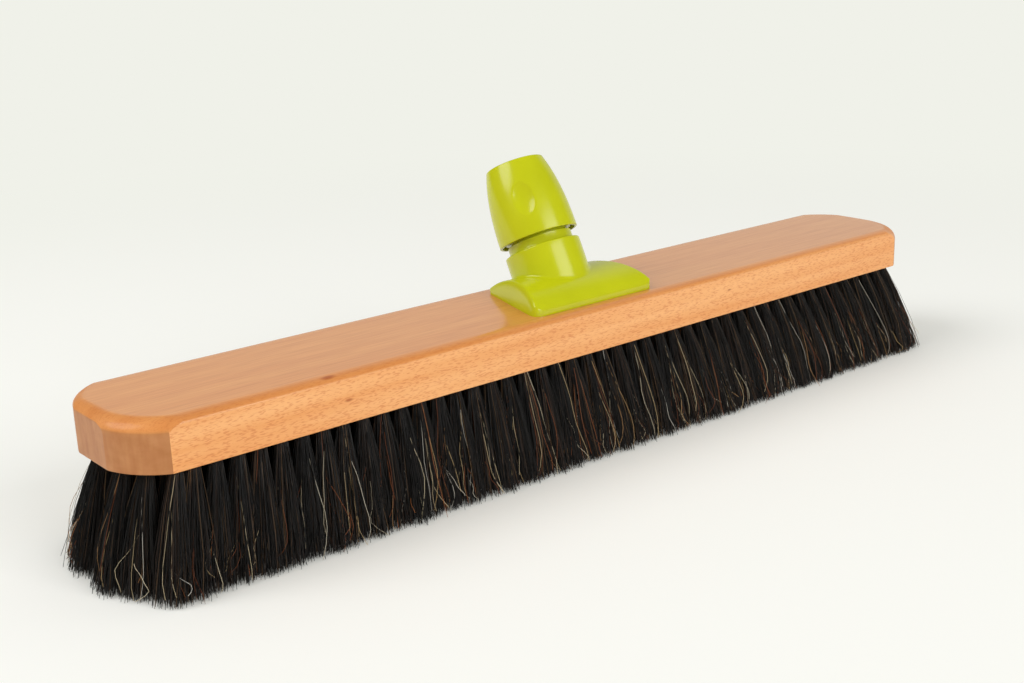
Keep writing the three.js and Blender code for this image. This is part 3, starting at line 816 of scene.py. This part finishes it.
def collarProfile():  # radius, height and whether a row lies on the barrel or in the thread
    edge, length, low, lip = (collar[key] for key in ("edge", "length", "baseEdge", "mouthRound"))
    skirt, inside = collar["skirtRadius"], collar["insideProfile"]
    mouth, bore = inside[0][0], inside[-1][0]
    steps = collar["edgeSteps"]
    rim = [(skirt, 0.0)] + arc(collar["baseRadius"] - low, low, low, -90, 0, steps)
    barrel = [barrelPoint(t) for t in np.linspace(0, 1, collar["barrelRows"] + 1)]
    top = arc(collar["topRadius"] - edge, length - edge, edge, collar["topEdgeFrom"], 90, steps)
    top += arc(mouth + lip, length - lip, lip, 90, 180, collar["mouthSteps"])
    heights = np.arange(collar["threadTo"], collar["threadFrom"], -thread["rowStep"])
    turns = [(bore, height) for height in heights]
    hem = [(bore, collar["skirtDepth"] + edge), (skirt, collar["skirtDepth"])]
    rows = []
    for kind, part in (("", rim), ("barrel", barrel), ("", top + inside), ("thread", turns), ("", hem)):
        rows += [(*point, kind) for point in part]
    return rows


def recessFrames():  # turn and place of each hollowing ellipsoid, and its half sizes
    t = next(t for t in np.linspace(0, 1, 400) if barrelPoint(t).y >= recess["height"])  # first high enough
    skin, slope = barrelPoint(t), barrelPoint(t + 0.01) - barrelPoint(t - 0.01)
    stand = recess["round"] - recess["depth"]
    drop = skin.x - math.sqrt(skin.x ** 2 - (recess["width"] / 2) ** 2)
    wide = recess["width"] / 2 / math.sqrt(1 - ((stand + drop) / recess["round"]) ** 2)
    tall = recess["length"] / 2 / math.sqrt(1 - (stand / recess["round"]) ** 2)
    tilt = Matrix.Rotation(math.atan2(slope.x, slope.y), 4, "Y")
    frames = []
    for i in range(recess["count"]):
        angle = math.radians(recess["turn"] + 360 * i / recess["count"])
        place = Matrix.Rotation(angle, 4, "Z") @ Matrix.Translation((skin.x + stand, 0, skin.y)) @ tilt
        frames.append((angle, place, place.inverted(), wide, tall))
    return frames


def hollowed(point, turn, hollows):  # a point of the barrel, pressed in where a recess is
    soft = recess["rimSoft"]
    for angle, place, back, wide, tall in hollows:
        local = back @ point
        room = 1 - (local.y / wide) ** 2 - (local.z / tall) ** 2
        if math.cos(turn - angle) > recess["sideCosine"] and room > 0:
            depth = local.x + recess["round"] * math.sqrt(room)  # how far the skin stands inside the hollow
            if depth > -recess["rimReach"]:
                local.x -= (depth + math.sqrt(depth * depth + soft * soft)) / 2
            point = place @ local
    return point


def clampCollar():
    profile = collarProfile()
    hollows = recessFrames()
    low, high = collar["threadFrom"], collar["threadTo"]
    points = []
    for turn in np.arange(collar["columns"]) * fullTurn / collar["columns"]:
        for radius, height, kind in profile:
            if kind == "thread":
                fade = easeStep(low, low + thread["fade"], height)
                fade *= 1 - easeStep(high - collar["threadOut"], high, height)
                radius += thread["depth"] * fade * (1 - threadCut(turn, height + collar["base"]))
            point = onRing(radius, turn, height)
            if kind == "barrel":
                point = hollowed(point, turn, hollows)
            points.append(collarFrame @ point)
    piece = meshObject("collar_moulding", points, ringFaces(collar["columns"], len(profile), len(profile)))
    closeUp(piece)
    smooth(piece, collar["sharpAngle"])
    handOver(piece, lime, "collar", "lime_plastic", "clamp_collar")


clampCollar()


# Clamping sleeve: slotted ring of fingers inside the collar

sleeve = {
    "profile": [  # radius and height above the collar's base, mm, outside upwards
        (13.4, 3.7), (14.6, 13.7), (14.6, 16.5), (15.6, 16.5), (15.6, 19.0), (14.35, 28.1), (13.7, 36.1)],
    "boreRadius": 12.3,
    "slots": 6,
    "slotWidth": 1.6,
    "slotTop": 28.1,
    "columns": 24,  # between two slots
    "sharpAngle": 30,
}


def clampSleeve():
    outer, bore = sleeve["profile"], sleeve["boreRadius"]
    rows = [(bore, outer[0][1])] + outer + [(bore, outer[-1][1]), (bore, sleeve["slotTop"])]
    low = [i for i, (radius, height) in enumerate(rows) if height <= sleeve["slotTop"]]
    half = math.asin(sleeve["slotWidth"] / 2 / bore)
    turns, slotted = [], []
    for slot in range(sleeve["slots"]):
        centre = fullTurn * (slot + 0.5) / sleeve["slots"]
        after = centre + fullTurn / sleeve["slots"]
        turns += [centre - half, *np.linspace(centre + half, after - half, sleeve["columns"] + 1)[:-1]]
        slotted += [True] + [False] * sleeve["columns"]
    points, faces = [], []
    for turn in turns:
        points += [collarFrame @ onRing(radius, turn, height) for radius, height in rows]
    size = len(rows)
    for i, face in enumerate(ringFaces(len(turns), size, size)):
        column, row = divmod(i, size)
        if not (slotted[column] and row in low and (row + 1) % size in low):
            faces.append(face)
        if slotted[column] and row == 0:  # the slot's two walls and its upper end
            a, b = face[:2]
            faces.append([a + k for k in low])
            faces.append([b + k for k in reversed(low)])
            faces.append((a + low[-1], a + low[-2], b + low[-2], b + low[-1]))
    piece = meshObject("sleeve_moulding", points, faces)
    closeUp(piece)
    smooth(piece, sleeve["sharpAngle"])
    handOver(piece, lime, "sleeve", "lime_plastic", "clamp_sleeve")


clampSleeve()


# Wood screws in the socket's floor

def plainMesh(item):  # what an object's modifiers make of it
    return bpy.data.meshes.new_from_object(item.evaluated_get(bpy.context.evaluated_depsgraph_get()))


def screwShape():
    top = -screws["sink"]
    tip = top - screws["length"]
    shank, step = screws["shank"] / 2, screws["threadStep"]
    neck = top - screws["rim"] - screws["cone"]
    threadTop = neck - screws["plainEnds"]
    rows = [(screws["head"] / 2, top), (screws["head"] / 2, top - screws["rim"]), (shank, neck)]
    for height in np.arange(threadTop, tip + screws["plainEnds"], -step / screws["threadRows"]):
        rows.append((shank * min((height - tip) / screws["point"], 1.0), height))
    points = []
    for turn in np.arange(screws["steps"]) * fullTurn / screws["steps"]:
        for radius, height in rows:
            phase = (height / step - turn / fullTurn) % 1.0
            if height < threadTop:
                radius *= 1 - screws["threadCut"] * (1 - math.sin(math.pi * phase) ** 4)
            points.append(onRing(radius, turn, height))
    points += [Vector((0, 0, top)), Vector((0, 0, tip))]
    count = len(rows)
    faces = ringFaces(screws["steps"], count, count - 1)
    for column in range(screws["steps"]):
        a, b = column * count, (column + 1) % screws["steps"] * count
        faces.append((a, b, len(points) - 2))
        faces.append((b + count - 1, a + count - 1, len(points) - 1))
    shape = meshObject("screw_shape", points, faces)
    closeUp(shape)
    long, wide = screws["crossLength"] / 2, screws["crossWidth"] / 2
    for x, y in ((long, wide), (wide, long)):  # cross slot
        box = bmesh.new()
        place = Matrix.Translation((0, 0, top * mm)) @ Matrix.Diagonal((x, y, screws["crossDepth"], 1))
        bmesh.ops.create_cube(box, size=2 * mm, matrix=place)
        arm = shapeObject("cross_arm", box)
        cutter = shape.modifiers.new("cross", "BOOLEAN")
        cutter.object = arm
        cutter.solver = "EXACT"
        plain = plainMesh(shape)
        shape.modifiers.remove(cutter)
        shape.data = plain
        bpy.data.objects.remove(arm)
    return shape


def nodeTree(name, sockets):  # with what adds a node to it, and its inputs
    tree = bpy.data.node_groups.new(name, "GeometryNodeTree")
    tree.interface.new_socket("Geometry", in_out="INPUT", socket_type="NodeSocketGeometry")
    for label, kind in sockets:
        tree.interface.new_socket(label, in_out="INPUT", socket_type="NodeSocket" + kind)
    tree.interface.new_socket("Geometry", in_out="OUTPUT", socket_type="NodeSocketGeometry")
    add = partial(addNode, tree)
    return tree, add, add("NodeGroupInput").outputs


def finishTree(add, geometry, material):  # realized, painted and handed out
    solid = add("GeometryNodeRealizeInstances", [geometry])
    painted = add("GeometryNodeSetMaterial", {"Geometry": solid, "Material": material})
    add("NodeGroupOutput", [painted])


def bakeNodes(name, carrier, tree, values):  # plain mesh object that a node tree makes of a carrier
    modifier = carrier.modifiers.new(name, "NODES")
    modifier.node_group = tree
    for item in tree.interface.items_tree:
        if item.in_out == "INPUT" and item.name in values:
            modifier[item.identifier] = values[item.name]
    plain = plainMesh(carrier)
    carrier.modifiers.remove(modifier)
    bpy.data.objects.remove(carrier)
    plain.name = name
    return addObject(name, plain)


def screwTree():
    tree, add, given = nodeTree("screwsOnPoints", [("screw", "Object"), ("lean", "Vector"),
                                                   ("material", "Material")])
    shape = add("GeometryNodeObjectInfo", {"Object": given["screw"]})
    placed = add("GeometryNodeInstanceOnPoints", {"Points": given["Geometry"],
                 "Instance": shape.outputs["Geometry"], "Rotation": given["lean"]})
    finishTree(add, placed, given["material"])
    return tree


def holderScrews():
    shape = screwShape()
    half = screws["spacing"] / 2
    seats = [socketFrame @ Vector((x, 0, socketFloor)) for x in (-half, half)]
    carrier = meshObject("screw_points", seats, [])
    piece = bakeNodes("holder_screws", carrier, screwTree(),
                      {"screw": shape, "lean": (-lean, 0.0, 0.0), "material": zinc})
    bpy.data.objects.remove(shape)
    smooth(piece, screws["sharpAngle"])
    handOver(piece, zinc, "head", "screw_steel", "holder_screw_left", "holder_screw_right")


holderScrews()


# Bristles: every tuft is a bundle of hairs that leaves its hole straight, splays and ends trimmed

bristles = {  # mm
    "thickness": 0.27,  # real hair is finer, drawn as coarse as it needs to show
    "taper": (0.5, 0.42),  # radius at root and tip, as a share of the thickness
    "rootSpread": 2.5,  # radius of the bundle in its hole
    "tipSpread": (2.9, 3.0, 0),  # tip radius over root radius, along and across
    "splay": 0.85,  # below 1 the hairs part early
    "scatter": 4.0,  # at the tips
    "bow": 1.6,
    "wave": 0.3,
    "waveLength": 11.0,  # radians of wave from root to tip
    "wavePhases": 80.0,  # spread of their starts, by the hair's tint
    "ragged": 1.8,  # uneven tips
    "points": 4,  # along a hair
    "tuftDrift": 1.2,  # how far a tuft's tips lie off their place
    "endFrom": 229.0,  # tufts beyond this x also fan inwards, which closes the gaps between the end tips
    "endFan": 6.8,
    "outerFrom": 225.0,  # tufts beyond this x count as outside
    "outerHairs": 410,  # in a tuft on the outside, in the next row and further in
    "secondHairs": 225,
    "innerHairs": 135,
    "pieceHairs": 9500,  # most in one mesh
    "sink": 1.0,  # roots inside their hole
    "floorGap": 0.4,  # tips above the floor
    "seed": 41,
    "seedStep": 20,  # from one mesh to the next
}

strays = {  # blond, rust and grey hairs that lie on the outside; what isn't named here is as above
    "count": 560,
    "thickness": 0.25,
    "rootSpread": 1.3,
    "tipSpread": (1, 1, 0),
    "splay": 0.9,
    "scatter": 1.5,
    "bow": 3.6,
    "wave": 1.4,
    "ragged": 9.0,
    "points": 9,
    "late": 0.75,  # how far down a stray may first come out of the tuft
    "lateBias": 1.5,  # above 1 most come out near the root
    "rootOut": 1.8,  # root and tip outside the tuft's middle, and tip to either side of it
    "tipOut": 6.2,
    "tipAside": 7.5,
    "seed": 97,
}

hairLengths = ("thickness", "rootSpread", "scatter", "bow", "wave", "ragged")  # given to the tree in metres


def hairTree():
    tree, add, given = nodeTree("hairTufts", [(key, "Float") for key in (*hairLengths, "splay")] + [
        ("tipSpread", "Vector"), ("points", "Int"), ("seed", "Int"), ("material", "Material")])
    dots = add("GeometryNodeMeshToPoints", {"Mesh": given["Geometry"]})
    amount = add("GeometryNodeInputNamedAttribute", {"Name": "hairCount"}, data_type="INT")
    dots = add("GeometryNodeDuplicateElements", {"Geometry": dots, "Amount": amount}, domain="POINT")

    # random numbers for each hair: four plain ones, then four level vectors
    chances, levels = [], []
    for i in range(8):
        seed = add(mathNode, [given["seed"], i + 1.0], operation="ADD")
        if i < 4:
            chances.append(add("FunctionNodeRandomValue", {"Seed": seed}))
        else:
            levels.append(add("FunctionNodeRandomValue", {0: (-1, -1, 0), 1: (1, 1, 0), "Seed": seed},
                              data_type="FLOAT_VECTOR"))

    # root in the round hole, and tip
    place = add("GeometryNodeInputPosition")
    shift = add("GeometryNodeInputNamedAttribute", {"Name": "tipShift"}, data_type="FLOAT_VECTOR")
    reach = add(mathNode, [chances[0]], operation="SQRT")
    reach = add(mathNode, [reach, given["rootSpread"]], operation="MULTIPLY")
    turn = add(mathNode, [chances[1], fullTurn], operation="MULTIPLY")
    arm = add("ShaderNodeCombineXYZ", {"X": reach})
    arm = add("ShaderNodeVectorRotate", {"Vector": arm, "Angle": turn}, rotation_type="Z_AXIS")
    root = add(vectorNode, [place, arm], operation="ADD")
    short = add(mathNode, [chances[2], 3.0], operation="POWER")  # most hairs reach the trimmed end
    short = add(mathNode, [short, given["ragged"]], operation="MULTIPLY")
    short = add("ShaderNodeCombineXYZ", {"Z": short})
    apart = add(vectorNode, levels[:2], operation="MULTIPLY")
    apart = add(vectorNode, {0: apart, "Scale": given["scatter"]}, operation="SCALE")
    tip = add(vectorNode, [arm, given["tipSpread"], place], operation="MULTIPLY_ADD")
    for offset in (shift, short, apart):
        tip = add(vectorNode, [tip, offset], operation="ADD")
    bow = add(vectorNode, {0: levels[2], "Scale": given["bow"]}, operation="SCALE")
    wave = add(vectorNode, {0: levels[3], "Scale": given["wave"]}, operation="SCALE")
    kept = {}
    for name, value, kind in (("rootPoint", root, "FLOAT_VECTOR"), ("tipPoint", tip, "FLOAT_VECTOR"),
                              ("bowVector", bow, "FLOAT_VECTOR"), ("waveVector", wave, "FLOAT_VECTOR"),
                              ("hairTint", chances[3], "FLOAT")):
        dots = add("GeometryNodeStoreNamedAttribute", {"Geometry": dots, "Name": name, "Value": value},
                   data_type=kind, domain="POINT")
        kept[name] = add("GeometryNodeInputNamedAttribute", {"Name": name}, data_type=kind)

    # a strand on every dot, laid from root to tip with its bow and waves
    strand = add("GeometryNodeCurvePrimitiveLine", {"End": (0, 0, -1)})
    strand = add("GeometryNodeResampleCurve", {"Curve": strand, "Count": given["points"]})
    hairs = add("GeometryNodeInstanceOnPoints", {"Points": dots, "Instance": strand})
    hairs = add("GeometryNodeRealizeInstances", [hairs])
    t = add("GeometryNodeSplineParameter").outputs["Factor"]
    splay = add(mathNode, [t, given["splay"]], operation="POWER")
    share = add("ShaderNodeCombineXYZ", [splay, splay, t])
    line = add(vectorNode, [kept["tipPoint"], kept["rootPoint"]], operation="SUBTRACT")
    line = add(vectorNode, [line, share, kept["rootPoint"]], operation="MULTIPLY_ADD")
    hump = add(mathNode, [1.0, t], operation="SUBTRACT")
    for factor in (t, t, 27 / 4):  # t * t * (1 - t), brought to a height of 1
        hump = add(mathNode, [hump, factor], operation="MULTIPLY")
    phase = add(mathNode, [kept["hairTint"], bristles["wavePhases"]], operation="MULTIPLY")
    ripple = add(mathNode, [t, bristles["waveLength"], phase], operation="MULTIPLY_ADD")
    ripple = add(mathNode, [ripple], operation="SINE")
    ripple = add(mathNode, [ripple, t], operation="MULTIPLY")
    for name, factor in (("bowVector", hump), ("waveVector", ripple)):
        offset = add(vectorNode, {0: kept[name], "Scale": factor}, operation="SCALE")
        line = add(vectorNode, [line, offset], operation="ADD")
    hairs = add("GeometryNodeSetPosition", {"Geometry": hairs, "Position": line})

    # tapering three-sided hairs
    thick, thin = bristles["taper"]
    girth = add("ShaderNodeMapRange", {"Value": t, "To Min": thick, "To Max": thin})
    girth = add(mathNode, [girth, given["thickness"]], operation="MULTIPLY")
    section = add("GeometryNodeCurvePrimitiveCircle", {"Resolution": 3})
    hairs = add("GeometryNodeCurveToMesh", {"Curve": hairs, "Profile Curve": section, "Scale": girth,
                "Fill Caps": True})
    hairs = add("GeometryNodeSetShadeSmooth", {"Geometry": hairs})
    finishTree(add, hairs, given["material"])
    return tree


def growHairs(name, tree, sizes, starts, seed, material):  # starts: root, tip and hairs of each tuft
    carrier = meshObject(name + "_roots", [root for root, tip, hairs in starts], [])
    shift = carrier.data.attributes.new("tipShift", "FLOAT_VECTOR", "POINT")
    for item, (root, tip, hairs) in zip(shift.data, starts):
        item.vector = (tip - root) * mm
    amount = carrier.data.attributes.new("hairCount", "INT", "POINT")
    for item, (root, tip, hairs) in zip(amount.data, starts):
        item.value = hairs
    values = {key: sizes[key] for key in ("tipSpread", "splay", "points")}
    values |= {key: sizes[key] * mm for key in hairLengths}
    return bakeNodes(name, carrier, tree, {**values, "seed": seed, "material": material})


def tuftLine(x, y, rootOut=0.0, tipOut=0.0):  # root and trimmed tip of a tuft, moved outwards if asked
    along = x * tufts["flareAlong"] / tufts["halfLength"]
    flare = Vector((along, y * tufts["flareAcross"] / tufts["halfWidth"], 0))
    outward = flare.normalized()
    root = Vector((x, y, block["bottom"] + bristles["sink"])) + outward * rootOut
    return root, Vector((x, y, bristles["floorGap"])) + flare + outward * tipOut


def isOuter(x, row):
    return row in (0, tufts["rows"] - 1) or abs(x) > bristles["outerFrom"]


def allBristles():
    tree = hairTree()
    seed = bristles["seed"]
    chance = np.random.default_rng(seed)
    for node, rows in (("bristles_front", (0, 1)), ("bristles_middle", (2, 3, 4)),
                       ("bristles_back", (5, 6))):
        parts, load = [[]], 0
        for x, y, row in sorted(root for root in roots if root[2] in rows):
            hairs = bristles["secondHairs" if row in (1, tufts["rows"] - 2) else "innerHairs"]
            if isOuter(x, row):
                hairs = bristles["outerHairs"]
            if load + hairs > bristles["pieceHairs"]:
                parts.append([])
                load = 0
            load += hairs
            root, tip = tuftLine(x, y)
            tip += Vector((*chance.uniform(-1, 1, 2), 0)) * bristles["tuftDrift"]
            parts[-1].append((root, tip, hairs))
            if abs(x) > bristles["endFrom"] and y:
                inward = Vector((0, -math.copysign(bristles["endFan"], y), 0))
                parts[-1].append((root, tip + inward, hairs // 2))
                load += hairs // 2
        for i, part in enumerate(parts):
            seed += bristles["seedStep"]
            piece = growHairs(f"{node}_hair_{i + 1}", tree, bristles, part, seed, darkHair)
            handOver(piece, darkHair, "head", "horsehair", node)
    strayHairs(tree)


def strayHairs(tree):
    outer = [(x, y) for x, y, row in roots if isOuter(x, row)]
    chance = np.random.default_rng(strays["seed"])
    own = []
    for i in chance.choice(len(outer), strays["count"]):
        root, tip = tuftLine(*outer[i], strays["rootOut"], strays["tipOut"])
        aside = (tip - root).cross(Vector((0, 0, 1))).normalized()
        aside *= strays["tipAside"] * chance.uniform(-1, 1)
        start = root.lerp(tip, strays["late"] * chance.uniform() ** strays["lateBias"])
        own.append((start, tip + aside, 1))
    piece = growHairs("stray_hairs", tree, strays, own, strays["seed"], strayHair)
    handOver(piece, strayHair, "head", "horsehair")


allBristles()
print("bristles grown")
